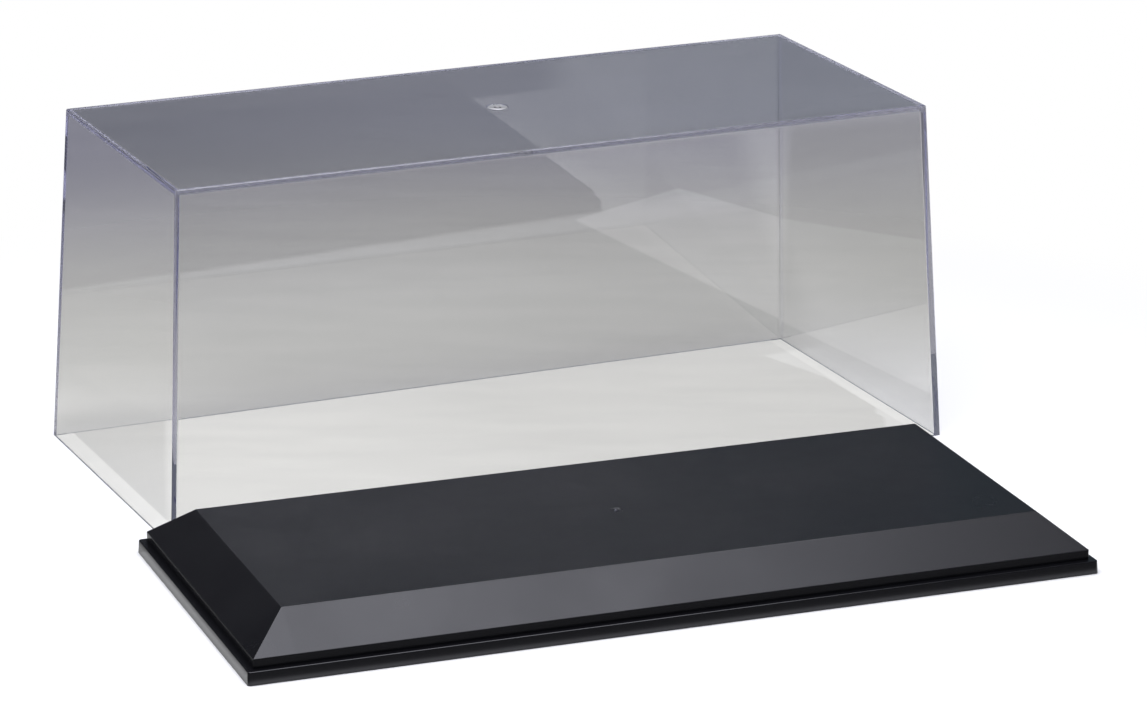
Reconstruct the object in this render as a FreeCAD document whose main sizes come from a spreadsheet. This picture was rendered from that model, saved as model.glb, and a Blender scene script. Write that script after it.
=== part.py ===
"""Display case for a scale model car: a black moulded base and a clear moulded cover.

Millimetres, +Z up. The base is centred on the origin with its rim on the table at z = 0 and its
length along X. The cover is off: it stands on the table close behind the base, turned a little,
with its open side down. In use it is lifted over the model and seated on the base's ledge.
"""
import FreeCAD, Part
import os
import Sketcher

DRIVING_SIZES = [
    # Base: a flange with a ledge on top, and a raised part whose four sides slope up to a flat deck.
    ("base_length", 325.0, "length over the flange, at the table"),
    ("base_width", 141.6, "width over the flange, at the table"),
    ("base_wall", 2.2, "wall of the hollow moulding"),
    ("flange_height", 4.9, "table to ledge"),
    ("flange_draft", 3.0, "angle of the flange's sides, in degrees"),
    ("flange_corner_radius", 1.2, "upright corners of the flange"),
    ("ledge_width", 2.6, "flat seat for the cover's rim, outside the raised part"),
    ("step_height", 3.6, "upright side of the raised part, above the ledge"),
    ("slope_run", 14.8, "width of the sloping sides, seen from above"),
    ("slope_rise", 12.0, "height of the sloping sides"),
    ("base_edge_radius", 0.4, "radius along the base's edges"),
    # Ribs under the deck.
    ("rib_thickness", 1.5, "thickness of each rib"),
    ("rib_depth", 6.5, "how far the ribs stand below the deck's underside"),
    ("cross_rib_count", 5, "ribs across the base"),
    ("long_rib_count", 3, "ribs along the base"),
    # Gate mark: where the plastic entered the mould in the middle of the deck.
    ("deck_mark_mouth", 5.0, "diameter of the mark's shallow well"),
    ("deck_mark_floor", 4.4, "diameter of the well's flat floor"),
    ("deck_mark_depth", 0.2, "depth of the well"),
    ("deck_stub_width", 1.6, "diameter of the trimmed stub in the well"),
    ("deck_stub_height", 0.15, "height of the stub above the well's floor"),
    # Cover: five drafted walls, open below.
    ("cover_height", 134.9, "outside height of the cover"),
    ("cover_wall", 2.1, "wall of the cover"),
    ("cover_draft", 2.95, "angle of the cover's sides, in degrees"),
    ("cover_clearance", 0.4, "gap all round between the seated cover and the raised part"),
    ("cover_edge_radius", 0.8, "radius along the cover's outer edges"),
    ("cover_inner_radius", 0.5, "radius along the cover's inner edges"),
    # Gate mark in the middle of the cover's top.
    ("cover_mark_mouth", 8.5, "diameter of the mark's well"),
    ("cover_mark_floor", 6.5, "diameter of the well's flat floor"),
    ("cover_mark_depth", 0.6, "depth of the well"),
    ("cover_stub_width", 1.8, "diameter of the trimmed stub in the well"),
    ("cover_stub_height", 0.4, "height of the stub above the well's floor"),
    # Where the cover stands while it is off the base.
    ("cover_turn", 3.6, "how far the cover is turned from the base, in degrees"),
    ("cover_shift", 8.1, "how far the cover's middle lies to the right of the base's middle"),
    ("standing_gap", 0.5, "gap between the base and the cover's nearest corner"),
]

# Sizes that follow from the driving sizes, as expressions. An edge of a slope keeps the wall even:
# the inner corner between two faces lies on the line that halves the angle between them.
LEDGE_INSET = "(Sizes.flange_height * tan(Sizes.flange_draft) + Sizes.ledge_width)"
RAISED_LENGTH = f"(Sizes.base_length - 2 * {LEDGE_INSET})"
RAISED_WIDTH = f"(Sizes.base_width - 2 * {LEDGE_INSET})"
RAISED_HEIGHT = "(Sizes.step_height + Sizes.slope_rise)"
DECK_LENGTH = f"({RAISED_LENGTH} - 2 * Sizes.slope_run)"
DECK_WIDTH = f"({RAISED_WIDTH} - 2 * Sizes.slope_run)"
DECK_HEIGHT = f"(Sizes.flange_height + {RAISED_HEIGHT})"
DECK_UNDERSIDE = f"({DECK_HEIGHT} - Sizes.base_wall)"
SLOPE_LENGTH = "sqrt(Sizes.slope_run * Sizes.slope_run + Sizes.slope_rise * Sizes.slope_rise)"
RIB_TOP = f"({DECK_HEIGHT} - Sizes.base_wall / 2)"
RIB_BOTTOM = f"({DECK_UNDERSIDE} - Sizes.rib_depth)"
RIB_TOP_INSET = f"(Sizes.base_wall * ({SLOPE_LENGTH} - Sizes.slope_run) / Sizes.slope_rise)"
RIB_FLARE = f"(2 * ({RIB_TOP} - {RIB_BOTTOM}) * Sizes.slope_run / Sizes.slope_rise)"
CROSS_RIB_PITCH = f"({DECK_LENGTH} / (Sizes.cross_rib_count + 1))"
LONG_RIB_PITCH = f"({DECK_WIDTH} / (Sizes.long_rib_count + 1))"
COVER_RIM = "(Sizes.cover_clearance + Sizes.cover_wall / cos(Sizes.cover_draft))"
COVER_LENGTH = f"({RAISED_LENGTH} + 2 * {COVER_RIM})"
COVER_WIDTH = f"({RAISED_WIDTH} + 2 * {COVER_RIM})"
COVER_REACH = f"({COVER_LENGTH} * sin(Sizes.cover_turn) + {COVER_WIDTH} * cos(Sizes.cover_turn))"

# Heights and directions this close together are the same.
NEAR = 1e-4


def fill_sheet(doc):
    """Put every driving size in the sheet: its name, its value and what it is."""
    sheet = doc.addObject("Spreadsheet::Sheet", "Sizes")
    for row, (name, value, meaning) in enumerate(DRIVING_SIZES, start=1):
        sheet.set(f"A{row}", name)
        sheet.set(f"B{row}", str(value))
        sheet.set(f"C{row}", meaning)
        sheet.setAlias(f"B{row}", name)
    doc.recompute()
    return sheet


def origin_item(body, role):
    """One of the body's own origin planes or axes."""
    return next(item for item in body.Origin.OriginFeatures if item.Role == role)


def add_sketch(body, name, role):
    """An empty sketch on one of the body's own origin planes."""
    sketch = body.newObject("Sketcher::SketchObject", name)
    sketch.AttachmentSupport = [(origin_item(body, role), "")]
    sketch.MapMode = "FlatFace"
    return sketch


def draw_outline(sketch, corners):
    """Closed straight lines through the corners, in order, to be sized afterwards."""
    points = [FreeCAD.Vector(x, y, 0) for x, y in corners]
    for index, point in enumerate(points):
        following = (index + 1) % len(points)
        sketch.addGeometry(Part.LineSegment(point, points[following]))
    for index in range(len(points)):
        following = (index + 1) % len(points)
        sketch.addConstraint(Sketcher.Constraint("Coincident", index, 2, following, 1))


def tie_size(sketch, kind, places, expression):
    """A dimension of the sketch that follows an expression."""
    size = float(sketch.evalExpression(expression))
    index = sketch.addConstraint(Sketcher.Constraint(kind, *places, size))
    sketch.setExpression(f"Constraints[{index}]", expression)


def rectangle_sketch(body, name, length, width, height="0"):
    """A rectangle centred on the Z axis, at a height above the XY plane."""
    sketch = add_sketch(body, name, "XY_Plane")
    sketch.setExpression("AttachmentOffset.Base.z", height)
    draw_outline(sketch, [(-1, -1), (1, -1), (1, 1), (-1, 1)])
    sketch.addConstraint(Sketcher.Constraint("Horizontal", 0))
    sketch.addConstraint(Sketcher.Constraint("Vertical", 1))
    sketch.addConstraint(Sketcher.Constraint("Horizontal", 2))
    sketch.addConstraint(Sketcher.Constraint("Vertical", 3))
    sketch.addConstraint(Sketcher.Constraint("Symmetric", 0, 1, 2, 1, -1, 1))
    tie_size(sketch, "DistanceX", (0, 1, 0, 2), length)
    tie_size(sketch, "DistanceY", (1, 1, 1, 2), width)
    return sketch


def circle_sketch(body, name, diameter, height):
    """A circle round the Z axis, at a height above the XY plane."""
    sketch = add_sketch(body, name, "XY_Plane")
    sketch.setExpression("AttachmentOffset.Base.z", height)
    sketch.addGeometry(Part.Circle(FreeCAD.Vector(0, 0, 0), FreeCAD.Vector(0, 0, 1), 1))
    sketch.addConstraint(Sketcher.Constraint("Coincident", 0, 3, -1, 1))
    tie_size(sketch, "Diameter", (0,), diameter)
    return sketch


def pad(body, name, sketch, length, midplane=False):
    """Material added along the sketch's normal, or evenly to both sides of it."""
    feature = body.newObject("PartDesign::Pad", name)
    feature.Profile = sketch
    feature.SideType = "Symmetric" if midplane else "One side"
    feature.setExpression("Length", length)
    FreeCAD.ActiveDocument.recompute()
    return feature


def flat_faces(feature, test):
    """Names of the feature's faces whose outward normal and centre pass the test."""
    faces = enumerate(feature.Shape.Faces, start=1)
    return [f"Face{index}" for index, face in faces if test(face.normalAt(0, 0), face.CenterOfMass)]


def edges_between(feature, low, high):
    """Names of the edges whose lowest and highest points lie at these two heights."""
    names = []
    for index, edge in enumerate(feature.Shape.Edges, start=1):
        box = edge.BoundBox
        if abs(box.ZMin - low) < NEAR and abs(box.ZMax - high) < NEAR:
            names.append(f"Edge{index}")
    return names


def outermost(feature, names):
    """Those of the named edges that bound the widest outline."""
    boxes = {name: feature.Shape.getElement(name).BoundBox for name in names}
    far_x = max(box.XMax for box in boxes.values())
    far_y = max(box.YMax for box in boxes.values())

    def reaches_out(box):
        reach_x = max(box.XMax, -box.XMin)
        reach_y = max(box.YMax, -box.YMin)
        return reach_x > far_x - NEAR or reach_y > far_y - NEAR

    return [name for name in names if reaches_out(boxes[name])]


def draft_sides(body, name, feature, angle):
    """Lean the feature's upright faces inwards, from their foot on the XY plane."""

    def is_side(normal, centre):
        return abs(normal.z) < NEAR

    leaning = body.newObject("PartDesign::Draft", name)
    leaning.Base = (feature, flat_faces(feature, is_side))
    leaning.NeutralPlane = (origin_item(body, "XY_Plane"), [""])
    leaning.setExpression("Angle", angle)
    FreeCAD.ActiveDocument.recompute()
    if leaning.Shape.Volume > feature.Shape.Volume:
        leaning.Reversed = True
        FreeCAD.ActiveDocument.recompute()
    return leaning


def slope_sides(body, name, feature, top):
    """Cut the top edges back to a slope of slope_run by slope_rise, mitred at the corners."""
    slopes = body.newObject("PartDesign::Chamfer", name)
    slopes.Base = (feature, edges_between(feature, top, top))
    slopes.ChamferType = "Two distances"
    slopes.setExpression("Size", "Sizes.slope_rise")
    slopes.setExpression("Size2", "Sizes.slope_run")
    FreeCAD.ActiveDocument.recompute()
    return slopes


def hollow_out(body, name, feature, wall):
    """Leave an even wall inside the feature's faces, open at the table."""

    def is_underside(normal, centre):
        return normal.z < NEAR - 1 and centre.z < NEAR

    shell = body.newObject("PartDesign::Thickness", name)
    shell.Base = (feature, flat_faces(feature, is_underside))
    shell.Join = "Intersection"
    shell.Reversed = True
    shell.setExpression("Value", wall)
    FreeCAD.ActiveDocument.recompute()
    return shell


def round_edges(body, name, feature, edges, radius):
    """A radius along the named edges."""
    fillet = body.newObject("PartDesign::Fillet", name)
    fillet.Base = (feature, edges)
    fillet.setExpression("Radius", radius)
    FreeCAD.ActiveDocument.recompute()
    return fillet


def repeat(body, name, feature, axis, count, pitch):
    """Evenly spaced copies of the feature along one of the body's axes."""
    pattern = body.newObject("PartDesign::LinearPattern", name)
    pattern.Originals = [feature]
    pattern.Direction = (origin_item(body, axis), [""])
    pattern.setExpression("Occurrences", count)
    pattern.setExpression("Length", f"{pitch} * ({count} - 1)")
    body.Tip = pattern
    FreeCAD.ActiveDocument.recompute()
    return pattern


def add_ribs(body, name, role, axis, span, count, pitch):
    """Ribs under the deck that run into the sloping walls at both ends.

    Each rib is drawn in side view, its slanted ends in the middle of the wall, and the ribs are
    set out evenly from the first one, which stands half the set's width to one side.
    """
    sketch = add_sketch(body, f"{name}_side_view", role)
    draw_outline(sketch, [(-2, 1), (2, 1), (1, 2), (-1, 2)])
    sketch.addConstraint(Sketcher.Constraint("Symmetric", 0, 1, 0, 2, -2))
    sketch.addConstraint(Sketcher.Constraint("Symmetric", 2, 2, 2, 1, -2))
    tie_size(sketch, "DistanceY", (-1, 1, 0, 1), RIB_BOTTOM)
    tie_size(sketch, "DistanceY", (-1, 1, 2, 1), RIB_TOP)
    tie_size(sketch, "DistanceX", (2, 2, 2, 1), f"{span} - {RIB_TOP_INSET}")
    tie_size(sketch, "DistanceX", (0, 1, 0, 2), f"{span} - {RIB_TOP_INSET} + {RIB_FLARE}")
    first_place = f"{pitch} * ({count} - 1) / 2"
    side = 1 if role == "XZ_Plane" else -1
    sketch.setExpression("AttachmentOffset.Base.z", f"{side} * {first_place}")
    FreeCAD.ActiveDocument.recompute()
    rib = pad(body, f"{name}_first", sketch, "Sizes.rib_thickness", midplane=True)
    return repeat(body, f"{name}_set", rib, axis, count, pitch)


def add_gate_mark(body, name, height):
    """A shallow round well with a sloping wall, and the trimmed stub that stands in it."""
    mouth = f"Sizes.{name}_mark_mouth"
    floor = f"Sizes.{name}_mark_floor"
    depth = f"Sizes.{name}_mark_depth"
    profile = add_sketch(body, f"{name}_mark_section", "XZ_Plane")
    draw_outline(profile, [(0, 0), (1, 0), (2, 1), (0, 1)])
    profile.addConstraint(Sketcher.Constraint("Horizontal", 0))
    profile.addConstraint(Sketcher.Constraint("Horizontal", 2))
    profile.addConstraint(Sketcher.Constraint("PointOnObject", 0, 1, -2))
    profile.addConstraint(Sketcher.Constraint("PointOnObject", 3, 1, -2))
    tie_size(profile, "DistanceX", (0, 1, 0, 2), f"{floor} / 2")
    tie_size(profile, "DistanceX", (2, 2, 2, 1), f"{mouth} / 2")
    tie_size(profile, "DistanceY", (0, 1, 3, 1), depth)
    tie_size(profile, "DistanceY", (-1, 1, 3, 1), height)
    well = body.newObject("PartDesign::Groove", f"{name}_mark_well")
    well.Profile = profile
    well.ReferenceAxis = (profile, ["V_Axis"])
    FreeCAD.ActiveDocument.recompute()
    circle = circle_sketch(body, f"{name}_stub_outline", f"Sizes.{name}_stub_width", f"{height} - {depth}")
    return pad(body, f"{name}_stub", circle, f"Sizes.{name}_stub_height")


def make_base(doc, sizes):
    """The black base: one thin-walled moulding, open underneath."""
    ledge_height = sizes.flange_height
    slope_foot = ledge_height + sizes.step_height
    deck_height = slope_foot + sizes.slope_rise

    body = doc.addObject("PartDesign::Body", "base_plinth")
    body.Label = "base_plinth"
    flange_outline = rectangle_sketch(body, "flange_outline", "Sizes.base_length", "Sizes.base_width")
    flange = pad(body, "flange", flange_outline, "Sizes.flange_height")
    draft_sides(body, "flange_draft", flange, "Sizes.flange_draft")

    raised_outline = rectangle_sketch(
        body, "raised_outline", RAISED_LENGTH, RAISED_WIDTH, "Sizes.flange_height"
    )
    raised = pad(body, "raised_part", raised_outline, RAISED_HEIGHT)
    slopes = slope_sides(body, "sloping_sides", raised, deck_height)
    shell = hollow_out(body, "even_wall", slopes, "Sizes.base_wall")

    corners = edges_between(shell, 0, ledge_height)
    rounded = round_edges(body, "flange_corners", shell, corners, "Sizes.flange_corner_radius")
    rim = outermost(rounded, edges_between(rounded, ledge_height, ledge_height))
    levels = [(ledge_height, slope_foot), (slope_foot, slope_foot)]
    levels += [(slope_foot, deck_height), (deck_height, deck_height)]
    raised_edges = [name for low, high in levels for name in edges_between(rounded, low, high)]
    round_edges(body, "outer_edges", rounded, rim + raised_edges, "Sizes.base_edge_radius")

    add_ribs(
        body, "cross_rib", "YZ_Plane", "X_Axis", DECK_WIDTH, "Sizes.cross_rib_count", CROSS_RIB_PITCH
    )
    add_ribs(
        body, "long_rib", "XZ_Plane", "Y_Axis", DECK_LENGTH, "Sizes.long_rib_count", LONG_RIB_PITCH
    )
    add_gate_mark(body, "deck", DECK_HEIGHT)
    return body


def make_cover(doc, sizes):
    """The clear cover: one drafted moulding, open below, that fits round the base's raised part."""
    top = sizes.cover_height
    ceiling = top - sizes.cover_wall

    body = doc.addObject("PartDesign::Body", "clear_cover")
    body.Label = "clear_cover"
    outline = rectangle_sketch(body, "rim_outline", COVER_LENGTH, COVER_WIDTH)
    block = pad(body, "outer_form", outline, "Sizes.cover_height")
    leaning = draft_sides(body, "side_draft", block, "Sizes.cover_draft")
    shell = hollow_out(body, "walls", leaning, "Sizes.cover_wall")

    outer = edges_between(shell, 0, top) + edges_between(shell, top, top)
    rounded = round_edges(body, "outer_radius", shell, outer, "Sizes.cover_edge_radius")
    inner = edges_between(rounded, 0, ceiling) + edges_between(rounded, ceiling, ceiling)
    round_edges(body, "inner_radius", rounded, inner, "Sizes.cover_inner_radius")
    add_gate_mark(body, "cover", "Sizes.cover_height")

    upright = FreeCAD.Vector(0, 0, 1)
    body.Placement = FreeCAD.Placement(FreeCAD.Vector(), FreeCAD.Rotation(upright, sizes.cover_turn))
    body.setExpression("Placement.Rotation.Angle", "Sizes.cover_turn")
    body.setExpression("Placement.Base.x", "Sizes.cover_shift")
    body.setExpression("Placement.Base.y", f"Sizes.base_width / 2 + Sizes.standing_gap + {COVER_REACH} / 2")
    return body


def check_objects(doc, bodies):
    """Stop if any object failed, or a body isn't one valid solid."""
    for item in doc.Objects:
        if "Invalid" in item.State or "Error" in item.State:
            raise RuntimeError(f"{item.Label} failed: {item.State}")
    for body in bodies:
        shape = body.Shape
        if shape.isNull() or not shape.isValid() or len(shape.Solids) != 1:
            raise RuntimeError(f"{body.Label} is not one valid solid")


def main():
    doc = FreeCAD.newDocument("display_case")
    sizes = fill_sheet(doc)
    bodies = [make_base(doc, sizes), make_cover(doc, sizes)]
    doc.recompute()
    check_objects(doc, bodies)
    os.makedirs("parts", exist_ok=True)
    for body in bodies:
        body.Shape.exportStep(f"parts/{body.Label}.step")
        print(f"{body.Label}: {body.Shape.Volume / 1000:.1f} cubic centimetres")


main()
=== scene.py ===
"""Finishes the display case: its black base, its clear cover, marks of moulding, and a studio."""
import bmesh
import bpy
import math
import random
from collections import namedtuple
from mathutils import Matrix, Vector


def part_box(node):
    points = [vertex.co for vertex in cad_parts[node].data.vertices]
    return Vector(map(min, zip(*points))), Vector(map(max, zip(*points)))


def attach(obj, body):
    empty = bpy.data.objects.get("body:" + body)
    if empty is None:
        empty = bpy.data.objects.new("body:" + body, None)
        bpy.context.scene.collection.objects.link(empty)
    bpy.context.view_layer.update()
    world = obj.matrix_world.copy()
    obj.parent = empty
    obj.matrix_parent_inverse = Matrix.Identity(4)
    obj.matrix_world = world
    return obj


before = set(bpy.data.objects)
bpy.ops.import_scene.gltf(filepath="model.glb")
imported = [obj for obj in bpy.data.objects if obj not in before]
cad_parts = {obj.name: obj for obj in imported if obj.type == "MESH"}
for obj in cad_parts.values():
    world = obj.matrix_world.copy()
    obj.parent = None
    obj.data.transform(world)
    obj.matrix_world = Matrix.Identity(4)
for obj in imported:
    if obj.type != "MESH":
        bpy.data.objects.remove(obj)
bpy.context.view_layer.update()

bl_info = {
    "name": "Model Car Display Case",
    "version": (1, 0, 0),
    "blender": (4, 5, 0),
    "location": "View3D > Sidebar > Display Case",
    "description": "Finishes a clear cover and a black base for a model car, and lights them",
    "category": "Object",
}

BASE_LOW, BASE_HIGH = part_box("base_plinth")
COVER_LOW, COVER_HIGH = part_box("clear_cover")
COVER_MIDDLE = ((COVER_LOW + COVER_HIGH) / 2).xy

# The cover's rim on the table: its turn from the base in degrees, and half its length and width.
COVER_TURN = 3.6
COVER_HALF_LENGTH = 0.1621
COVER_HALF_WIDTH = 0.0704

# Half the length and width of the flat part of the cover's top, inside its rounded edges.
TOP_HALF_LENGTH = 0.1535
TOP_HALF_WIDTH = 0.0615

# Height of the deck's underside, and where the deck ends at the front and at the left.
DECK_UNDERSIDE = 0.0183
DECK_FRONT = -0.0515
DECK_LEFT = -0.1445

# Where the soft lamp hangs, across and along the table.
LAMP_PLACE = (-0.16, -0.07)

# How often light may bounce, since it runs far inside the clear cover's edges, and after how many
# bounces it counts as having run far inside, on its way to the floor and to the room.
BOUNCES = 200
FAR_INSIDE_TO_FLOOR = 8.5
FAR_INSIDE_TO_ROOM = 10.5

WHITE = (1.0, 1.0, 1.0)

# Shade of the paper for the light that it throws back on the case.
LIT_SHADE = (0.8, 0.8, 0.8)

# Slow changes from place to place. Each row has the direction in which the change runs, the two
# places between which it runs, and how much it is at each. The first four are changes of the fine
# texture's roughness, and the others are parts of the paper's shade.
TEXTURE_WEAR = (("along", -0.05, 0.05, -0.065, -0.04),)
DECK_WEAR = (("across", -0.02, 0.07, 0.06, -0.035), ("along", -0.05, 0.0, -0.03, 0.0))
FRONT_SLOPE_WEAR = (("across", -0.14, -0.05, -0.03, 0.0), ("across", 0.08, 0.14, 0.0, 0.06))
LEFT_SLOPE_WEAR = (("along", -0.06, 0.03, -0.05, 0.0),)
PAPER_PAST_RIGHT = (("across", 0.17, 0.195, 0.0, -0.15), ("across", 0.19, 0.29, 0.0, -0.13))
PAPER_NEAR = (
    ("across", 0.03, 0.12, 0.0, -0.03),
    ("across", -0.10, -0.04, 0.03, 0.0),
    ("along", 0.30, 0.48, -0.025, 0.04),
)
PAPER_FAR = (("across", -0.02, 0.16, -0.05, 0.12), ("across", 0.16, 0.26, 0.0, 0.05))
PAPER_BEHIND_LEFT = (("across", -0.10, -0.05, 0.09, 0.0), ("across", -0.155, -0.125, 0.15, 0.0))
PAPER_UNDER = (("across", -0.09, 0.03, 0.0, -0.07),)

# Lines on the paper: a point of each, and the direction square to it. The last are the edges of a
# painted patch of light far behind the cover, which the cover casts.
PAST_RIGHT_LINE = ((0.165, 0.232), (0.914, -0.407))
PAST_LEFT_LINE = ((-0.149, 0.0715), (-0.964, 0.266))
PAINTED_LIGHT_LINES = (
    ((0.211, 0.465), (0.926, 0.377)),
    ((0.287, 0.344), (0.752, 0.659)),
    ((0.211, 0.465), (-0.46, 0.888)),
    ((0.150, 0.404), (-0.986, -0.166)),
)

# How many sides the round forms have: the torn stubs, the bead and the pin marks.
STUB_SIDES = 14
BEAD_SIDES = 48
MARK_SIDES = 32

# Section of the bead round the cover's gate well: shares of its radius, and heights from the top.
BEAD_SECTION = (
    (0.42, -0.00061),
    (0.45, -0.00020),
    (0.60, -0.00012),
    (0.90, -0.00010),
    (1.15, -0.00008),
    (1.20, -0.00012),
    (1.22, -0.00030),
    (1.00, -0.00061),
)

# What the settings of all colours have in common, and those of all shares.
A_COLOUR = {"subtype": "COLOR", "size": 3, "min": 0.0, "max": 1.0}
A_SHARE = {"subtype": "FACTOR", "min": 0.0, "max": 1.0}


# Properties


class BlackPlasticLook(bpy.types.PropertyGroup):
    colour: bpy.props.FloatVectorProperty(
        name="Colour",
        description="Colour of the black plastic",
        default=(0.0048, 0.0049, 0.0062),
        **A_COLOUR,
    )
    grain_width: bpy.props.FloatProperty(
        name="Grain width",
        description="Spacing of the fine texture moulded into the deck and its slopes",
        default=0.00055,
        min=0.0001,
        unit="LENGTH",
    )
    grain_depth: bpy.props.FloatProperty(
        name="Grain depth",
        description="Depth of the fine texture",
        default=0.00002,
        min=0.0,
        unit="LENGTH",
    )
    matt_roughness: bpy.props.FloatProperty(
        name="Matt roughness",
        description="Roughness of the textured deck and slopes",
        default=0.378,
        **A_SHARE,
    )
    polished_roughness: bpy.props.FloatProperty(
        name="Polished roughness",
        description="Roughness of the flange, the ledge and the step",
        default=0.2,
        **A_SHARE,
    )
    slope_foot: bpy.props.FloatProperty(
        name="Slope foot",
        description="Height above which the faces carry the fine texture",
        default=0.0081,
        min=0.0,
        unit="LENGTH",
    )


class ClearPlasticLook(bpy.types.PropertyGroup):
    tint: bpy.props.FloatVectorProperty(
        name="Tint",
        description="What the plastic passes through its depth, seen best along its edges",
        default=(0.85, 0.85, 0.935),
        **A_COLOUR,
    )
    tint_density: bpy.props.FloatProperty(
        name="Tint density",
        description="How fast the tint deepens, for each metre of plastic",
        default=14.0,
        min=0.0,
    )
    refraction: bpy.props.FloatProperty(
        name="Refraction",
        description="Index of refraction of clear polystyrene",
        default=1.59,
        min=1.0,
        max=2.0,
    )
    rim_roughness: bpy.props.FloatProperty(
        name="Rim roughness",
        description="Roughness of the rim's face along the cover's back",
        default=0.33,
        **A_SHARE,
    )
    edge_roughness: bpy.props.FloatProperty(
        name="Edge roughness",
        description="Roughness of the rounding along the cover's top edges",
        default=0.2,
        **A_SHARE,
    )
    ripple_width: bpy.props.FloatProperty(
        name="Ripple width",
        description="Spacing of the slow waves that the mould leaves in the walls",
        default=0.045,
        min=0.001,
        unit="LENGTH",
    )
    ripple_depth: bpy.props.FloatProperty(
        name="Ripple depth",
        description="Depth of the slow waves",
        default=0.000008,
        min=0.0,
        unit="LENGTH",
    )


class GateMarks(bpy.types.PropertyGroup):
    whitened: bpy.props.FloatVectorProperty(
        name="Whitened plastic",
        description="Colour of clear plastic that was strained white where the gate broke off",
        default=(0.85, 0.85, 0.88),
        **A_COLOUR,
    )
    deck_stub_radius: bpy.props.FloatProperty(
        name="Deck stub radius",
        description="Radius of the torn stub in the middle of the deck",
        default=0.0007,
        min=0.0001,
        unit="LENGTH",
    )
    deck_stub_top: bpy.props.FloatProperty(
        name="Deck stub top",
        description="How far the torn stub stands above the deck",
        default=0.0006,
        min=0.0,
        unit="LENGTH",
    )
    cover_stub_radius: bpy.props.FloatProperty(
        name="Cover stub radius",
        description="Radius of the torn stub in the middle of the cover's top",
        default=0.0008,
        min=0.0001,
        unit="LENGTH",
    )
    cover_bead_radius: bpy.props.FloatProperty(
        name="Cover bead radius",
        description="Radius of the strained bead round the well in the cover's top",
        default=0.0033,
        min=0.001,
        unit="LENGTH",
    )
    seed: bpy.props.IntProperty(
        name="Seed",
        description="Picks another set of torn edges",
        default=4,
        min=0,
    )


class PinMarks(bpy.types.PropertyGroup):
    columns: bpy.props.IntProperty(
        name="Columns",
        description="Marks along the base",
        default=6,
        min=1,
    )
    rows: bpy.props.IntProperty(
        name="Rows",
        description="Marks across the base",
        default=4,
        min=1,
    )
    column_pitch: bpy.props.FloatProperty(
        name="Column pitch",
        description="Distance between marks along the base",
        default=0.04828,
        min=0.001,
        unit="LENGTH",
    )
    row_pitch: bpy.props.FloatProperty(
        name="Row pitch",
        description="Distance between marks across the base",
        default=0.02657,
        min=0.001,
        unit="LENGTH",
    )
    radius: bpy.props.FloatProperty(
        name="Radius",
        description="Radius of each mark that an ejector pin left under the deck",
        default=0.003,
        min=0.0005,
        unit="LENGTH",
    )
    depth: bpy.props.FloatProperty(
        name="Depth",
        description="How far the deepest mark stands out below the deck's underside",
        default=0.00018,
        min=0.00001,
        unit="LENGTH",
    )
    seed: bpy.props.IntProperty(
        name="Seed",
        description="Picks another set of depths",
        default=3,
        min=0,
    )


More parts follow.
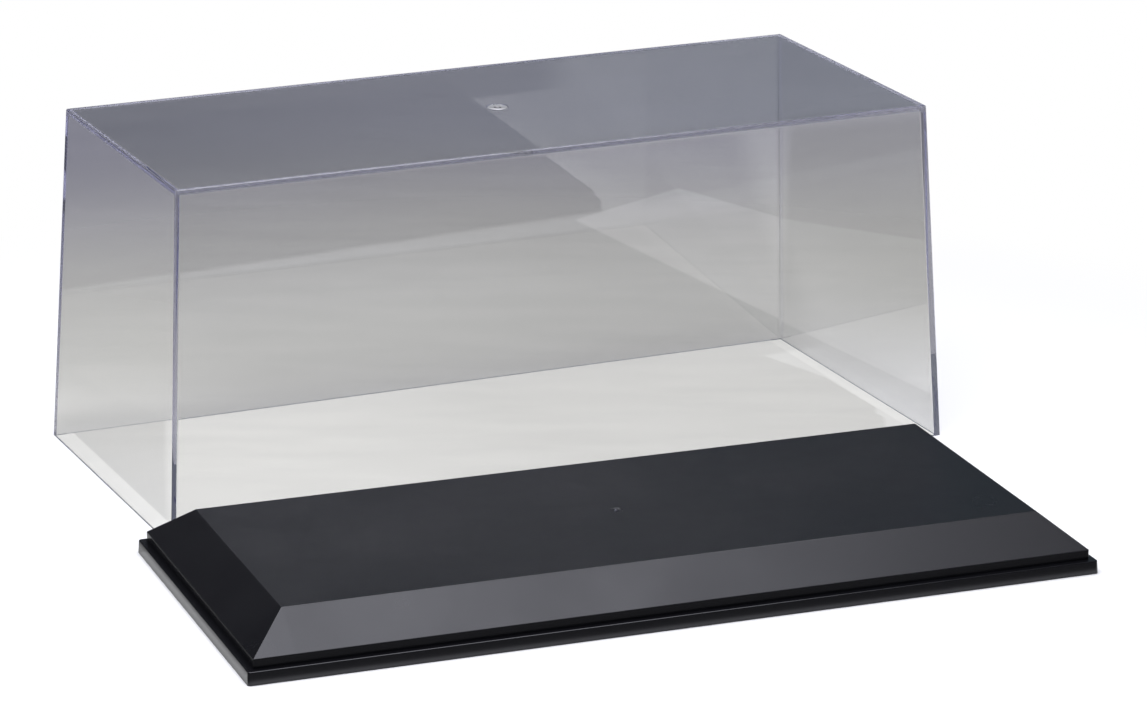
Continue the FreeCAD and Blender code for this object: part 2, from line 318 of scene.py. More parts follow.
class StudioSetup(bpy.types.PropertyGroup):
    azimuth: bpy.props.FloatProperty(
        name="Azimuth",
        description="Where the camera stands, round from the front",
        default=math.radians(-20.73),
        subtype="ANGLE",
    )
    elevation: bpy.props.FloatProperty(
        name="Elevation",
        description="How far the camera looks down",
        default=math.radians(17.905),
        subtype="ANGLE",
    )
    roll: bpy.props.FloatProperty(
        name="Roll",
        description="How far the camera is turned about its line of sight",
        default=math.radians(0.317),
        subtype="ANGLE",
    )
    target: bpy.props.FloatVectorProperty(
        name="Target",
        description="Point on the table in the middle of the picture",
        subtype="XYZ",
        unit="LENGTH",
        size=3,
        default=(0.07163, 0.23449, 0.0),
    )
    distance: bpy.props.FloatProperty(
        name="Distance",
        description="Distance from the camera to its target",
        default=1.92059,
        min=0.1,
        unit="LENGTH",
    )
    focal_length: bpy.props.FloatProperty(
        name="Focal length",
        description="Focal length on a sensor 36 mm wide",
        default=143.757,
        min=10.0,
        subtype="DISTANCE_CAMERA",
    )
    lamp_height: bpy.props.FloatProperty(
        name="Lamp height",
        description="Height of the soft lamp above the table",
        default=0.9,
        min=0.2,
        unit="LENGTH",
    )
    lamp_size: bpy.props.FloatProperty(
        name="Lamp size",
        description="Side of the square soft lamp",
        default=1.2,
        min=0.05,
        unit="LENGTH",
    )
    lamp_power: bpy.props.FloatProperty(
        name="Lamp power",
        description="Power of the soft lamp",
        default=15.9,
        min=0.0,
        unit="POWER",
    )
    paper_near: bpy.props.FloatVectorProperty(
        name="Paper near",
        description="Shade of the paper under the cover, as seen through it or mirrored",
        default=(0.935, 0.925, 0.845),
        **A_COLOUR,
    )
    paper_beside: bpy.props.FloatVectorProperty(
        name="Paper beside",
        description="Shade of the paper beside the cover",
        default=(0.71, 0.71, 0.68),
        **A_COLOUR,
    )
    paper_behind: bpy.props.FloatVectorProperty(
        name="Paper behind",
        description="Shade of the paper just behind the cover",
        default=(0.48, 0.475, 0.44),
        **A_COLOUR,
    )
    paper_far: bpy.props.FloatVectorProperty(
        name="Paper far",
        description="Shade of the paper at the back of the studio",
        default=(0.25, 0.25, 0.302),
        **A_COLOUR,
    )
    room: bpy.props.FloatVectorProperty(
        name="Room",
        description="Shade of the studio around, as seen in reflections",
        default=(0.045, 0.046, 0.055),
        **A_COLOUR,
    )
    ceiling: bpy.props.FloatVectorProperty(
        name="Ceiling",
        description="Shade of the studio overhead, as seen in reflections",
        default=(0.12, 0.125, 0.145),
        **A_COLOUR,
    )
    room_behind: bpy.props.FloatVectorProperty(
        name="Room behind",
        description="Shade of the studio behind the case, as the cover's top mirrors it",
        default=(0.095, 0.107, 0.125),
        **A_COLOUR,
    )
    room_right: bpy.props.FloatVectorProperty(
        name="Room right",
        description="Shade of the studio behind and to the right",
        default=(0.097, 0.125, 0.15),
        **A_COLOUR,
    )
    room_through: bpy.props.FloatVectorProperty(
        name="Room through",
        description="Shade of the studio around, as seen through the cover",
        default=(0.20, 0.20, 0.225),
        **A_COLOUR,
    )
    room_deep: bpy.props.FloatVectorProperty(
        name="Room deep",
        description="Shade of the studio for light that ran far inside the cover's edges",
        default=(0.17, 0.18, 0.195),
        **A_COLOUR,
    )
    lamp_deep: bpy.props.FloatVectorProperty(
        name="Lamp deep",
        description="Shade overhead for light that ran far inside the cover's edges",
        default=(0.72, 0.72, 0.72),
        **A_COLOUR,
    )


# Node helpers


# A place in a node tree: as a vector, and how far across and along the table and how high it is.
Spot = namedtuple("Spot", "place across along height")


def place_node(tree, kind, **settings):
    """A node of this kind with its settings and its inputs filled, by name or by number."""
    node = tree.nodes.new(kind)
    inputs = settings.pop("inputs", {})
    for name, value in settings.items():
        setattr(node, name, value)
    for name, value in inputs.items():
        socket = node.inputs[name]
        if isinstance(value, bpy.types.NodeSocket):
            tree.links.new(value, socket)
        else:
            socket.default_value = value
    return node


def calculate(tree, operation, first, second=0.0, third=0.0):
    """The result of one arithmetic step."""
    node = place_node(
        tree, "ShaderNodeMath", operation=operation, inputs={0: first, 1: second, 2: third}
    )
    return node.outputs[0]


def fade(tree, value, start, end, low=0.0, high=1.0):
    """A value that runs smoothly from low at start to high at end."""
    node = place_node(
        tree,
        "ShaderNodeMapRange",
        interpolation_type="SMOOTHSTEP",
        inputs={"Value": value, "From Min": start, "From Max": end, "To Min": low, "To Max": high},
    )
    return node.outputs["Result"]


def product(tree, *values):
    """The values multiplied."""
    result = values[0]
    for value in values[1:]:
        result = calculate(tree, "MULTIPLY", result, value)
    return result


def total(tree, *values):
    """The values added."""
    result = values[0]
    for value in values[1:]:
        result = calculate(tree, "ADD", result, value)
    return result


def blend_values(tree, share, first, second):
    """One value where share is 0 and the other where it is 1."""
    return place_node(
        tree, "ShaderNodeMix", data_type="FLOAT", inputs={0: share, 2: first, 3: second}
    ).outputs[0]


def blend_colours(tree, share, first, second):
    """One colour where share is 0 and the other where it is 1."""
    first, second = (
        colour if isinstance(colour, bpy.types.NodeSocket) else (*colour, 1.0)
        for colour in (first, second)
    )
    return place_node(
        tree, "ShaderNodeMix", data_type="RGBA", inputs={0: share, 6: first, 7: second}
    ).outputs[2]


def noise(tree, place, scale, detail, roughness=0.5):
    """Cloudy noise from 0 to 1, with this many clouds in a metre."""
    return place_node(
        tree,
        "ShaderNodeTexNoise",
        inputs={"Vector": place, "Scale": scale, "Detail": detail, "Roughness": roughness},
    ).outputs[0]


def relief(tree, height, depth, strength=1.0):
    """The way the surface faces where a relief of this depth tilts it."""
    return place_node(
        tree, "ShaderNodeBump", inputs={"Strength": strength, "Distance": depth, "Height": height}
    ).outputs[0]


def new_material(name):
    """An empty node material and its output node."""
    material = bpy.data.materials.new(name)
    material.use_nodes = True
    material.node_tree.nodes.clear()
    output = material.node_tree.nodes.new("ShaderNodeOutputMaterial")
    return material, material.node_tree, output


def object_spot(tree):
    """The place on the object, in metres, as a vector and as its three parts."""
    place = tree.nodes.new("ShaderNodeTexCoord").outputs["Object"]
    parts = place_node(tree, "ShaderNodeSeparateXYZ", inputs={0: place}).outputs
    return Spot(place, parts[0], parts[1], parts[2])


def changes(tree, spot, rows):
    """The sum of slow changes at a spot, from rows like those at the top of this file."""
    return total(
        tree, *(fade(tree, getattr(spot, direction), *numbers) for direction, *numbers in rows)
    )


def stripe(tree, value, low, high, soft):
    """1 where the value lies between low and high and 0 elsewhere, with soft edges."""
    rising = fade(tree, value, low - soft, low + soft)
    falling = fade(tree, value, high - soft, high + soft, 1.0, 0.0)
    return product(tree, rising, falling)


def rectangle(tree, length_place, width_place, half_length, half_width, soft):
    """1 inside a rectangle about the middle and 0 outside, with soft edges."""
    return product(
        tree,
        stripe(tree, length_place, -half_length, half_length, soft),
        stripe(tree, width_place, -half_width, half_width, soft),
    )


def along_direction(tree, place, centre, degrees):
    """How far a place lies from the centre, measured along a level direction."""
    offset = place_node(
        tree, "ShaderNodeVectorMath", operation="SUBTRACT", inputs={0: place, 1: (*centre, 0.0)}
    ).outputs[0]
    angle = math.radians(degrees)
    direction = (math.cos(angle), math.sin(angle), 0.0)
    return place_node(
        tree, "ShaderNodeVectorMath", operation="DOT_PRODUCT", inputs={0: offset, 1: direction}
    ).outputs["Value"]


def cover_place(tree, place):
    """How far a place lies from the cover's middle, along the cover's length and its width."""
    return [
        along_direction(tree, place, COVER_MIDDLE, degrees)
        for degrees in (COVER_TURN, COVER_TURN + 90.0)
    ]


def past_line(tree, spot, line, soft):
    """0 on the near side of a line on the paper and 1 past it, with a soft edge."""
    (across, along), normal = line
    first = product(tree, calculate(tree, "SUBTRACT", spot.across, across), normal[0])
    second = calculate(tree, "SUBTRACT", spot.along, along)
    side = calculate(tree, "MULTIPLY_ADD", second, normal[1], first)
    return fade(tree, side, -soft, soft)


def dress(node_name, material):
    """Put the material in every slot of a node of the frame."""
    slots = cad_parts[node_name].material_slots
    for slot in slots:
        slot.material = material


# Materials


def texture_wear(tree, spot):
    """How much rougher or smoother than its mean the fine texture is, from place to place."""
    on_deck = fade(tree, spot.height, BASE_HIGH.z - 0.0006, BASE_HIGH.z - 0.0002)
    on_front_slope = fade(tree, spot.along, DECK_FRONT - 0.001, DECK_FRONT + 0.001, 1.0, 0.0)
    on_left_slope = fade(tree, spot.across, DECK_LEFT - 0.001, DECK_LEFT + 0.001, 1.0, 0.0)
    wear = changes(tree, spot, TEXTURE_WEAR)
    for share, rows in (
        (on_deck, DECK_WEAR),
        (on_front_slope, FRONT_SLOPE_WEAR),
        (on_left_slope, LEFT_SLOPE_WEAR),
    ):
        wear = calculate(tree, "MULTIPLY_ADD", share, changes(tree, spot, rows), wear)
    return wear


def black_plastic(look):
    """Black plastic: finely textured above the slope's foot and polished below it."""
    material, tree, output = new_material("moulded_black_plastic")
    spot = object_spot(tree)
    textured = fade(tree, spot.height, look.slope_foot, look.slope_foot + 0.0004)
    grain = noise(tree, spot.place, 1.0 / look.grain_width, 2.0, 0.6)
    cloud = noise(tree, spot.place, 28.0, 3.0, 0.55)
    matt_spread, matt_shift = 0.24, -0.08
    polished_spread, polished_shift = 0.06, -0.03
    worn = total(tree, texture_wear(tree, spot), look.matt_roughness + matt_shift)
    matt = calculate(tree, "MULTIPLY_ADD", cloud, matt_spread, worn)
    level = look.polished_roughness + polished_shift
    polished = calculate(tree, "MULTIPLY_ADD", cloud, polished_spread, level)
    surface = place_node(
        tree,
        "ShaderNodeBsdfPrincipled",
        inputs={
            "Base Color": (*look.colour, 1.0),
            "Roughness": blend_values(tree, textured, polished, matt),
            "IOR": 1.52,
            "Specular Tint": (0.94, 0.94, 1.0, 1.0),
            "Normal": relief(tree, product(tree, grain, textured), look.grain_depth),
        },
    )
    tree.links.new(surface.outputs[0], output.inputs["Surface"])
    return material


def matt_rim(tree, spot):
    """1 on the rim's face along the cover's back, short of the corners, and 0 elsewhere."""
    length_place, width_place = cover_place(tree, spot.place)
    reach = COVER_HALF_LENGTH - 0.006
    between_corners = stripe(tree, length_place, -reach, reach, 0.001)
    behind = fade(tree, width_place, COVER_HALF_WIDTH - 0.008, COVER_HALF_WIDTH - 0.006)
    low = fade(tree, spot.height, 0.00005, 0.0004, 1.0, 0.0)
    return product(tree, between_corners, behind, low)


def matt_edges(tree, spot):
    """1 on the rounding along the cover's top edges, and 0 on its flat top and its walls."""
    top = COVER_HIGH.z
    flat = rectangle(tree, *cover_place(tree, spot.place), TOP_HALF_LENGTH, TOP_HALF_WIDTH, 0.001)
    high = fade(tree, spot.height, top - 0.0030, top - 0.0024)
    below_top = fade(tree, spot.height, top - 0.00006, top - 0.00002, 1.0, 0.0)
    return product(tree, product(tree, high, below_top), calculate(tree, "SUBTRACT", 1.0, flat))


def clear_plastic(look):
    """Clear plastic: tinted through its depth, bending what is seen, and letting the lamp in."""
    material, tree, output = new_material("moulded_clear_plastic")
    spot = object_spot(tree)
    wave = noise(tree, spot.place, 1.0 / look.ripple_width, 1.0)
    below_top = fade(tree, spot.height, COVER_HIGH.z - 0.009, COVER_HIGH.z - 0.003, 1.0, 0.0)
    glass = place_node(
        tree,
        "ShaderNodeBsdfPrincipled",
        inputs={
            "Base Color": (*WHITE, 1.0),
            "Roughness": total(
                tree,
                product(tree, matt_rim(tree, spot), look.rim_roughness),
                product(tree, matt_edges(tree, spot), look.edge_roughness),
            ),
            "IOR": look.refraction,
            "Transmission Weight": 1.0,
            "Normal": relief(tree, product(tree, wave, below_top), look.ripple_depth),
        },
    )
    let_through = (0.95, 0.95, 0.96, 1.0)
    passing = place_node(tree, "ShaderNodeBsdfTransparent", inputs={0: let_through})
    path = tree.nodes.new("ShaderNodeLightPath")
    mix = place_node(
        tree,
        "ShaderNodeMixShader",
        inputs={0: path.outputs["Is Shadow Ray"], 1: glass.outputs[0], 2: passing.outputs[0]},
    )
    depth = place_node(
        tree,
        "ShaderNodeVolumeAbsorption",
        inputs={"Color": (*look.tint, 1.0), "Density": look.tint_density},
    )
    tree.links.new(mix.outputs[0], output.inputs["Surface"])
    tree.links.new(depth.outputs[0], output.inputs["Volume"])
    return material


def paper_shade(tree, spot, setup, under, width_place):
    """The paper's shade under the cover, in front of it, beside it, and on to the back."""
    turning = 0.1
    right_of = calculate(tree, "MAXIMUM", spot.across, turning)
    right_of = calculate(tree, "SUBTRACT", right_of, turning)
    distance = calculate(tree, "MULTIPLY_ADD", right_of, 0.4, spot.along)
    beyond = fade(tree, distance, 0.27, 0.66)
    beyond = blend_colours(tree, beyond, setup.paper_behind, setup.paper_far)
    front = -COVER_HALF_WIDTH
    in_front = fade(tree, width_place, front - 0.001, front + 0.001, 1.0, 0.0)
    shade_in_front = (1.0, 1.0, 0.97)
    close_by = blend_colours(tree, in_front, setup.paper_beside, shade_in_front)
    around = blend_colours(tree, fade(tree, spot.along, 0.10, 0.26), close_by, beyond)
    return blend_colours(tree, under, around, setup.paper_near)


def paper_change(tree, spot, under):
    """How much paler or darker than its shade the paper is, from place to place."""
    past_right = past_line(tree, spot, PAST_RIGHT_LINE, 0.003)
    near = total(
        tree,
        product(tree, past_right, changes(tree, spot, PAPER_PAST_RIGHT)),
        changes(tree, spot, PAPER_NEAR),
    )
    far = changes(tree, spot, PAPER_FAR)
    outside = blend_values(tree, fade(tree, spot.along, 0.53, 0.575), near, far)
    leaving = fade(tree, spot.along, 0.222, 0.25)
    fading = fade(tree, spot.along, 0.25, 0.32, 1.0, 0.0)
    close_behind = product(tree, changes(tree, spot, PAPER_BEHIND_LEFT), leaving, fading)
    outside = total(tree, close_behind, outside)
    past_left = product(tree, past_line(tree, spot, PAST_LEFT_LINE, 0.002), -0.21)
    inside = total(tree, changes(tree, spot, PAPER_UNDER), past_left)
    return blend_values(tree, under, outside, inside)


def painted_light_strips(tree, length_place, under):
    """Painted light: the gain of paler strips that the walls cast under the cover's two ends."""
    reach = COVER_HALF_LENGTH
    left = fade(tree, length_place, 0.0089 - reach, 0.0101 - reach, 0.38, 0.0)
    right = fade(tree, length_place, reach - 0.0078, reach - 0.0066, 0.0, 0.09)
    return calculate(tree, "MULTIPLY_ADD", total(tree, left, right), under, 1.0)


def painted_light_patch(tree, spot):
    """Painted light: the gain of a paler patch far behind the cover, light that the cover casts."""
    within = [
        calculate(tree, "SUBTRACT", 1.0, past_line(tree, spot, line, 0.0012))
        for line in PAINTED_LIGHT_LINES
    ]
    patch = product(tree, calculate(tree, "MAXIMUM", within[0], within[1]), within[2], within[3])
    return calculate(tree, "MULTIPLY_ADD", patch, 0.20, 1.0)


def painted_dark_reflection(tree, spot):
    """Painted dark reflection: the gain of the paper in front of the base and at its left, which is
    dark only as the base's polished sides mirror it and as the cover shows it.
    """
    front, left = BASE_LOW.y, BASE_LOW.x
    up_to_right = calculate(tree, "MULTIPLY_ADD", spot.along, 0.5, spot.across)
    before_base = product(
        tree,
        fade(tree, spot.along, front - 0.0075, front - 0.0035, 1.0, 0.0),
        fade(tree, up_to_right, 0.165, 0.19, 1.0, 0.0),
    )
    left_of_base = product(
        tree,
        fade(tree, spot.across, left - 0.0042, left - 0.0026, 1.0, 0.0),
        fade(tree, spot.along, 0.085, 0.10, 1.0, 0.0),
    )
    dark = calculate(tree, "MAXIMUM", before_base, left_of_base)
    return calculate(tree, "MULTIPLY_ADD", dark, -0.87, 1.0)


def under_back_rim(tree, path, width_place):
    """The gain under the cover's back rim, which is darker to light that ran far in the walls."""
    far_inside = calculate(tree, "GREATER_THAN", path["Ray Depth"], FAR_INSIDE_TO_FLOOR)
    edge = COVER_HALF_WIDTH
    back_rim = fade(tree, width_place, edge - 0.0040, edge - 0.0028, 0.0, -0.35)
    return calculate(tree, "MULTIPLY_ADD", far_inside, back_rim, 1.0)


def paper_streaks(tree, place):
    """The gain of faint level streaks, drawn out across the view."""
    middle, turn = (0.0, 0.0), -20.7
    waves_along, waves_across = 14.0, 60.0
    streak_place = place_node(
        tree,
        "ShaderNodeCombineXYZ",
        inputs={
            "X": product(tree, along_direction(tree, place, middle, turn), waves_along),
            "Y": product(tree, along_direction(tree, place, middle, turn + 90.0), waves_across),
        },
    ).outputs[0]
    return fade(tree, noise(tree, streak_place, 1.0, 4.0), 0.25, 0.75, 0.97, 1.03)


def floor_paper(setup):
    """Pale paper: white to the eye, and a graded grey in what is seen through or mirrored."""
    material, tree, output = new_material("studio_paper")
    spot = object_spot(tree)
    path = tree.nodes.new("ShaderNodeLightPath").outputs
    length_place, width_place = cover_place(tree, spot.place)
    under = rectangle(
        tree, length_place, width_place, COVER_HALF_LENGTH, COVER_HALF_WIDTH, 0.0012
    )
    # The gain holds painted light from the cover and a painted dark reflection by the base.
    gain = product(
        tree,
        total(tree, paper_change(tree, spot, under), 1.0),
        painted_light_strips(tree, length_place, under),
        painted_light_patch(tree, spot),
        painted_dark_reflection(tree, spot),
        under_back_rim(tree, path, width_place),
        paper_streaks(tree, spot.place),
    )
    shade = paper_shade(tree, spot, setup, under, width_place)
    shaded = place_node(
        tree, "ShaderNodeVectorMath", operation="SCALE", inputs={0: shade, "Scale": gain}
    ).outputs[0]
    indirect = calculate(tree, "MAXIMUM", path["Is Glossy Ray"], path["Is Transmission Ray"])
    bounced = blend_colours(tree, indirect, LIT_SHADE, shaded)
    colour = blend_colours(tree, path["Is Camera Ray"], bounced, WHITE)
    case_middle = (0.0, 0.08, 0.0)
    away = place_node(
        tree,
        "ShaderNodeVectorMath",
        operation="DISTANCE",
        inputs={0: spot.place, 1: case_middle},
    ).outputs["Value"]
    near = fade(tree, away, 0.26, 0.42, 1.0, 0.0)
    lit = place_node(tree, "ShaderNodeBsdfDiffuse", inputs={"Color": colour})
    plain = place_node(tree, "ShaderNodeEmission", inputs={"Color": colour, "Strength": 1.0})
    mix = place_node(
        tree, "ShaderNodeMixShader", inputs={0: near, 1: plain.outputs[0], 2: lit.outputs[0]}
    )
    tree.links.new(mix.outputs[0], output.inputs["Surface"])
    return material


def torn_surface(name, colouring, scale, detail_roughness, depth, strength, roughness):
    """Torn plastic: the noise of its fracture makes its relief, and colouring its colour."""
    material, tree, output = new_material(name)
    place = object_spot(tree).place
    fracture = noise(tree, place, scale, 4.0, detail_roughness)
    surface = place_node(
        tree,
        "ShaderNodeBsdfPrincipled",
        inputs={
            "Base Color": colouring(tree, place, fracture),
            "Roughness": roughness,
            "Normal": relief(tree, fracture, depth, strength),
        },
    )
    tree.links.new(surface.outputs[0], output.inputs["Surface"])
    return material


def whitened_plastic(marks):
    """Clear plastic strained white and rough, whitest on the side where the gate was pulled."""

    def colouring(tree, place, fracture):
        towards_pull = along_direction(tree, place, COVER_MIDDLE, -110.0)
        pulled = product(tree, fade(tree, towards_pull, 0.0014, 0.0040), 0.85)
        share = calculate(tree, "MULTIPLY_ADD", fracture, 0.15, pulled)
        grey = [0.28 * part for part in marks.whitened]
        return blend_colours(tree, share, grey, marks.whitened)

    return torn_surface(
        "strained_clear_plastic",
        colouring,
        scale=1900.0,
        detail_roughness=0.65,
        depth=0.00008,
        strength=0.8,
        roughness=0.35,
    )


def torn_black_plastic(look):
    """Black plastic torn rough, a little paler than the moulded surface."""

    def colouring(tree, place, fracture):
        pale = [24.0 * part for part in look.colour]
        return blend_colours(tree, fade(tree, fracture, 0.35, 0.55), look.colour, pale)

    return torn_surface(
        "torn_black_plastic",
        colouring,
        scale=2600.0,
        detail_roughness=0.7,
        depth=0.0001,
        strength=1.0,
        roughness=0.5,
    )


# Pieces and stage


def turned_form(profile, sides, jag=0.0, seed=0):
    """A closed form turned about the Z axis, each of its points raised by a little of its own.

    The profile is a row of radii and heights. It starts and ends on the axis, or else it is a loop.
    """
    chance = random.Random(seed)
    shape = bmesh.new()
    rings = []
    for radius, height in profile:
        count = sides if radius > 0.0 else 1
        ring = []
        for index in range(count):
            angle = 2.0 * math.pi * index / sides
            rise = chance.uniform(-jag, jag)
            place = (radius * math.cos(angle), radius * math.sin(angle), height + rise)
            ring.append(shape.verts.new(place))
        rings.append(ring)
    pairs = list(zip(rings, rings[1:]))
    if len(rings[0]) > 1:
        pairs.append((rings[-1], rings[0]))
    for first, second in pairs:
        for index in range(sides):
            following = (index + 1) % sides
            corners = [
                first[index % len(first)],
                first[following % len(first)],
                second[following % len(second)],
                second[index % len(second)],
            ]
            shape.faces.new(dict.fromkeys(corners))
    bmesh.ops.recalc_face_normals(shape, faces=shape.faces)
    return shape


def finish_piece(name, shape, centre, material, body):
    """One smooth object of this shape, moved to its centre, that rides on its body."""
    bmesh.ops.translate(shape, verts=shape.verts, vec=centre)
    mesh = bpy.data.meshes.new(name)
    shape.to_mesh(mesh)
    shape.free()
    mesh.shade_smooth()
    mesh.materials.append(material)
    piece = bpy.data.objects.new(name, mesh)
    bpy.context.scene.collection.objects.link(piece)
    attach(piece, body)
    return piece


class DISPLAYCASE_OT_black_base(bpy.types.Operator):
    """Give the base its black plastic"""

    bl_idname = "display_case.black_base"
    bl_label = "Black Base"

    def execute(self, context):
        dress("base_plinth", black_plastic(context.scene.black_plastic_look))
        return {"FINISHED"}


class DISPLAYCASE_OT_clear_cover(bpy.types.Operator):
    """Give the cover its clear plastic"""

    bl_idname = "display_case.clear_cover"
    bl_label = "Clear Cover"

    def execute(self, context):
        dress("clear_cover", clear_plastic(context.scene.clear_plastic_look))
        return {"FINISHED"}


class DISPLAYCASE_OT_deck_stub(bpy.types.Operator):
    """Leave a torn stub of plastic in the gate mark on the deck"""

    bl_idname = "display_case.deck_stub"
    bl_label = "Deck Stub"

    def execute(self, context):
        marks = context.scene.gate_marks
        radius = marks.deck_stub_radius
        top = marks.deck_stub_top
        foot = -0.00022
        profile = [(0.0, top * 0.7)]
        profile += [(radius * share, top * (1.0 - share**3)) for share in (0.25, 0.5, 0.75, 0.9)]
        profile += [(radius, -0.00006), (radius * 1.04, foot), (0.0, foot)]
        shape = turned_form(profile, STUB_SIDES, top * 0.2, marks.seed)
        material = torn_black_plastic(context.scene.black_plastic_look)
        centre = (-0.0004, -0.0008, BASE_HIGH.z)
        finish_piece("deck_gate_stub", shape, centre, material, "base")
        return {"FINISHED"}


class DISPLAYCASE_OT_cover_stub(bpy.types.Operator):
    """Leave a torn stub and a strained bead of plastic in the gate mark on the cover's top"""

    bl_idname = "display_case.cover_stub"
    bl_label = "Cover Stub"

    def execute(self, context):
        marks = context.scene.gate_marks
        centre = (*COVER_MIDDLE, COVER_HIGH.z)
        radius = marks.cover_stub_radius
        foot = -0.00028
        crown = [(0.0, -0.00012)]
        crown += [(radius * share, -0.00006 - 0.0001 * share**2) for share in (0.3, 0.55, 0.8)]
        crown += [(radius, foot), (0.0, foot)]
        bead = [(marks.cover_bead_radius * share, height) for share, height in BEAD_SECTION]
        material = whitened_plastic(marks)
        for name, profile, sides, jag in (
            ("cover_gate_stub", crown, STUB_SIDES, 0.00004),
            ("cover_gate_bead", bead, BEAD_SIDES, 0.00003),
        ):
            shape = turned_form(profile, sides, jag, marks.seed)
            finish_piece(name, shape, centre, material, "cover")
        return {"FINISHED"}


def mark_tree():
    """Node tree that sets one mark in rows and columns, each standing out by its own amount."""
    tree = bpy.data.node_groups.new("pin_mark_rows", "GeometryNodeTree")
    for name, kind in (
        ("Mark", "NodeSocketGeometry"),
        ("Columns", "NodeSocketInt"),
        ("Rows", "NodeSocketInt"),
        ("Column Pitch", "NodeSocketFloat"),
        ("Row Pitch", "NodeSocketFloat"),
        ("Height", "NodeSocketFloat"),
        ("Seed", "NodeSocketInt"),
        ("Material", "NodeSocketMaterial"),
    ):
        tree.interface.new_socket(name, in_out="INPUT", socket_type=kind)
    tree.interface.new_socket("Marks", in_out="OUTPUT", socket_type="NodeSocketGeometry")
    given = tree.nodes.new("NodeGroupInput").outputs
    column_gaps = calculate(tree, "SUBTRACT", given["Columns"], 1.0)
    row_gaps = calculate(tree, "SUBTRACT", given["Rows"], 1.0)
    grid = place_node(
        tree,
        "GeometryNodeMeshGrid",
        inputs={
            "Size X": calculate(tree, "MULTIPLY", column_gaps, given["Column Pitch"]),
            "Size Y": calculate(tree, "MULTIPLY", row_gaps, given["Row Pitch"]),
            "Vertices X": given["Columns"],
            "Vertices Y": given["Rows"],
        },
    )
    lift = place_node(tree, "ShaderNodeCombineXYZ", inputs={"Z": given["Height"]})
    raised = place_node(
        tree,
        "GeometryNodeTransform",
        inputs={"Geometry": grid.outputs["Mesh"], "Translation": lift.outputs[0]},
    )
    stretch = place_node(
        tree,
        "FunctionNodeRandomValue",
        data_type="FLOAT_VECTOR",
        inputs={0: (0.98, 0.98, 0.4), 1: (1.02, 1.02, 1.0), "Seed": given["Seed"]},
    )
    placed = place_node(
        tree,
        "GeometryNodeInstanceOnPoints",
        inputs={
            "Points": raised.outputs[0],
            "Instance": given["Mark"],
            "Scale": stretch.outputs[0],
        },
    )
    joined = place_node(tree, "GeometryNodeRealizeInstances", inputs={0: placed.outputs[0]})
    painted = place_node(
        tree,
        "GeometryNodeSetMaterial",
        inputs={"Geometry": joined.outputs[0], "Material": given["Material"]},
    )
    leaving = tree.nodes.new("NodeGroupOutput")
    tree.links.new(painted.outputs[0], leaving.inputs[0])
    return tree


def evaluated_piece(name, shape, tree, values):
    """The plain mesh that a node tree makes from a shape, as a new object."""
    seed_mesh = bpy.data.meshes.new(name + "_seed")
    shape.to_mesh(seed_mesh)
    shape.free()
    source = bpy.data.objects.new(name + "_seed", seed_mesh)
    bpy.context.scene.collection.objects.link(source)
    modifier = source.modifiers.new("rows", "NODES")
    modifier.node_group = tree
    sockets = {item.name: item.identifier for item in tree.interface.items_tree}
    for label, value in values.items():
        modifier[sockets[label]] = value
    graph = bpy.context.evaluated_depsgraph_get()
    graph.update()
    mesh = bpy.data.meshes.new_from_object(source.evaluated_get(graph))
    mesh.name = name
    bpy.data.objects.remove(source)
    bpy.data.meshes.remove(seed_mesh)
    piece = bpy.data.objects.new(name, mesh)
    bpy.context.scene.collection.objects.link(piece)
    return piece


class DISPLAYCASE_OT_pin_marks(bpy.types.Operator):
    """Leave the round marks of the ejector pins under the deck"""

    bl_idname = "display_case.pin_marks"
    bl_label = "Pin Marks"

    def execute(self, context):
        marks = context.scene.pin_marks
        radius = marks.radius
        depth = marks.depth
        inside_deck = 0.0001
        profile = [
            (0.0, inside_deck),
            (radius, inside_deck),
            (radius, -depth * 0.8),
            (radius * 0.96, -depth),
            (radius * 0.86, -depth),
            (radius * 0.80, -depth * 0.55),
            (0.0, -depth * 0.5),
        ]
        shape = turned_form(profile, MARK_SIDES)
        values = {
            "Columns": marks.columns,
            "Rows": marks.rows,
            "Column Pitch": marks.column_pitch,
            "Row Pitch": marks.row_pitch,
            "Height": DECK_UNDERSIDE,
            "Seed": marks.seed,
            "Material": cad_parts["base_plinth"].material_slots[0].material,
        }
        piece = evaluated_piece("ejector_pin_marks", shape, mark_tree(), values)
        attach(piece, "base")
        return {"FINISHED"}


def add_floor(setup):
    """A large flat sheet just under the table's level."""
    half_side, level = 6.0, -0.0001
    mesh = bpy.data.meshes.new("studio_floor")
    shape = bmesh.new()
    bmesh.ops.create_grid(shape, x_segments=1, y_segments=1, size=half_side)
    bmesh.ops.translate(shape, verts=shape.verts, vec=(0.0, 0.0, level))
    shape.to_mesh(mesh)
    shape.free()
    floor = bpy.data.objects.new("studio_floor", mesh)
    bpy.context.scene.collection.objects.link(floor)
    mesh.materials.append(floor_paper(setup))


def add_lamp(setup):
    """A square soft lamp that shines straight down, as lamps do until they are turned."""
    data = bpy.data.lights.new("overhead_lamp", "AREA")
    data.shape = "SQUARE"
    data.size = setup.lamp_size
    data.energy = setup.lamp_power
    data.color = (0.985, 0.99, 1.035)
    lamp = bpy.data.objects.new("overhead_lamp", data)
    lamp.location = (*LAMP_PLACE, setup.lamp_height)
    lamp.visible_camera = False
    lamp.visible_transmission = False
    bpy.context.scene.collection.objects.link(lamp)


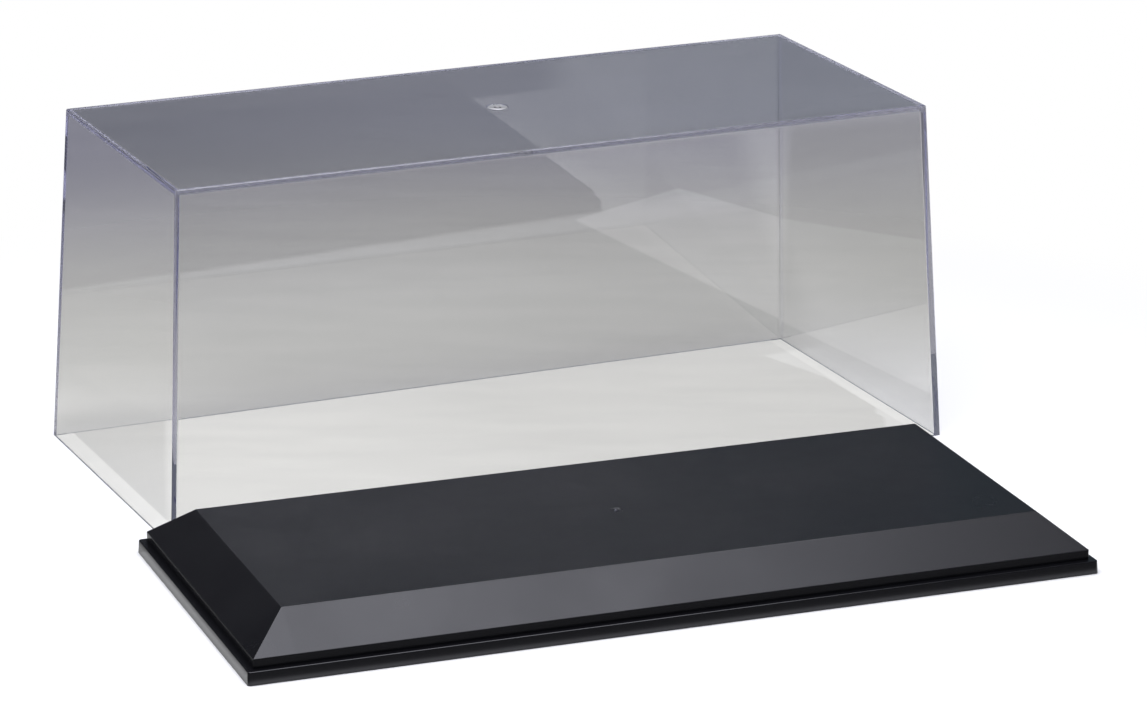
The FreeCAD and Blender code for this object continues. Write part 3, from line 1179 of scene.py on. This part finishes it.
def add_world(setup):
    """White to the eye, and a dim grey studio in what is mirrored or seen through the cover."""
    world = bpy.data.worlds.new("studio_room")
    bpy.context.scene.world = world
    world.use_nodes = True
    tree = world.node_tree
    tree.nodes.clear()
    path = tree.nodes.new("ShaderNodeLightPath").outputs
    view = tree.nodes.new("ShaderNodeTexCoord").outputs["Generated"]
    rightward, backward, upward = place_node(
        tree, "ShaderNodeSeparateXYZ", inputs={0: view}
    ).outputs
    overhead = fade(tree, upward, 0.5, 0.9)
    walls = blend_colours(tree, overhead, setup.room, setup.ceiling)
    past_middle = fade(tree, rightward, -0.15, 0.22)
    far_right = fade(tree, rightward, 0.28, 0.44)
    behind = blend_colours(tree, past_middle, setup.room, setup.room_behind)
    behind = blend_colours(tree, far_right, behind, setup.room_right)
    facing_back = fade(tree, backward, 0.3, 0.7)
    walls = blend_colours(tree, facing_back, walls, behind)
    risen = fade(tree, upward, 0.08, 0.18)
    above = blend_colours(tree, risen, setup.room_through, behind)
    through = blend_colours(tree, facing_back, setup.room_through, above)
    indirect = blend_colours(tree, path["Is Transmission Ray"], walls, through)
    far_inside = calculate(tree, "GREATER_THAN", path["Ray Depth"], FAR_INSIDE_TO_ROOM)
    deep = blend_colours(tree, overhead, setup.room_deep, setup.lamp_deep)
    indirect = blend_colours(tree, far_inside, indirect, deep)
    colour = blend_colours(tree, path["Is Camera Ray"], indirect, WHITE)
    background = place_node(
        tree, "ShaderNodeBackground", inputs={"Color": colour, "Strength": 1.0}
    )
    output = tree.nodes.new("ShaderNodeOutputWorld")
    tree.links.new(background.outputs[0], output.inputs["Surface"])


def add_camera(setup):
    """The camera, placed by its angles about its target."""
    towards = Vector(
        (
            math.sin(setup.azimuth) * math.cos(setup.elevation),
            -math.cos(setup.azimuth) * math.cos(setup.elevation),
            math.sin(setup.elevation),
        )
    )
    level = Vector((0.0, 0.0, 1.0)).cross(towards).normalized()
    upright = towards.cross(level)
    right = level * math.cos(setup.roll) + upright * math.sin(setup.roll)
    up = upright * math.cos(setup.roll) - level * math.sin(setup.roll)
    data = bpy.data.cameras.new("camera")
    data.lens = setup.focal_length
    data.sensor_width = 36.0
    data.sensor_fit = "HORIZONTAL"
    camera = bpy.data.objects.new("camera", data)
    turn = Matrix((right, up, towards)).transposed().to_4x4()
    camera.matrix_world = Matrix.Translation(Vector(setup.target) + towards * setup.distance) @ turn
    bpy.context.scene.collection.objects.link(camera)
    bpy.context.scene.camera = camera


class DISPLAYCASE_OT_studio(bpy.types.Operator):
    """Set up the floor, the lamp, the room and the camera"""

    bl_idname = "display_case.studio"
    bl_label = "Studio"

    def execute(self, context):
        setup = context.scene.studio_setup
        context.scene.view_settings.view_transform = "Standard"
        cycles = context.scene.cycles
        cycles.max_bounces = BOUNCES
        cycles.glossy_bounces = BOUNCES
        cycles.transmission_bounces = BOUNCES
        cycles.caustics_reflective = False
        cycles.caustics_refractive = False
        add_camera(setup)
        add_floor(setup)
        add_lamp(setup)
        add_world(setup)
        return {"FINISHED"}


class DISPLAYCASE_PT_panel(bpy.types.Panel):
    """Lists the operators and their settings"""

    bl_idname = "DISPLAYCASE_PT_panel"
    bl_label = "Display Case"
    bl_space_type = "VIEW_3D"
    bl_region_type = "UI"
    bl_category = "Display Case"

    def draw(self, context):
        for operator in OPERATORS:
            self.layout.operator(operator.bl_idname)
        for name, group in SETTINGS.items():
            box = self.layout.box()
            for setting in group.__annotations__:
                box.prop(getattr(context.scene, name), setting)


OPERATORS = (
    DISPLAYCASE_OT_studio,
    DISPLAYCASE_OT_black_base,
    DISPLAYCASE_OT_clear_cover,
    DISPLAYCASE_OT_deck_stub,
    DISPLAYCASE_OT_cover_stub,
    DISPLAYCASE_OT_pin_marks,
)
SETTINGS = {
    "studio_setup": StudioSetup,
    "black_plastic_look": BlackPlasticLook,
    "clear_plastic_look": ClearPlasticLook,
    "gate_marks": GateMarks,
    "pin_marks": PinMarks,
}


def register():
    for group in SETTINGS.values():
        bpy.utils.register_class(group)
    for operator in OPERATORS:
        bpy.utils.register_class(operator)
    bpy.utils.register_class(DISPLAYCASE_PT_panel)
    for name, group in SETTINGS.items():
        setattr(bpy.types.Scene, name, bpy.props.PointerProperty(type=group))


def unregister():
    for name in SETTINGS:
        delattr(bpy.types.Scene, name)
    bpy.utils.unregister_class(DISPLAYCASE_PT_panel)
    for operator in reversed(OPERATORS):
        bpy.utils.unregister_class(operator)
    for group in reversed(list(SETTINGS.values())):
        bpy.utils.unregister_class(group)


def main():
    register()
    bpy.ops.display_case.studio()
    bpy.ops.display_case.black_base()
    bpy.ops.display_case.clear_cover()
    bpy.ops.display_case.deck_stub()
    bpy.ops.display_case.cover_stub()
    bpy.ops.display_case.pin_marks()


if __name__ == "__main__":
    main()
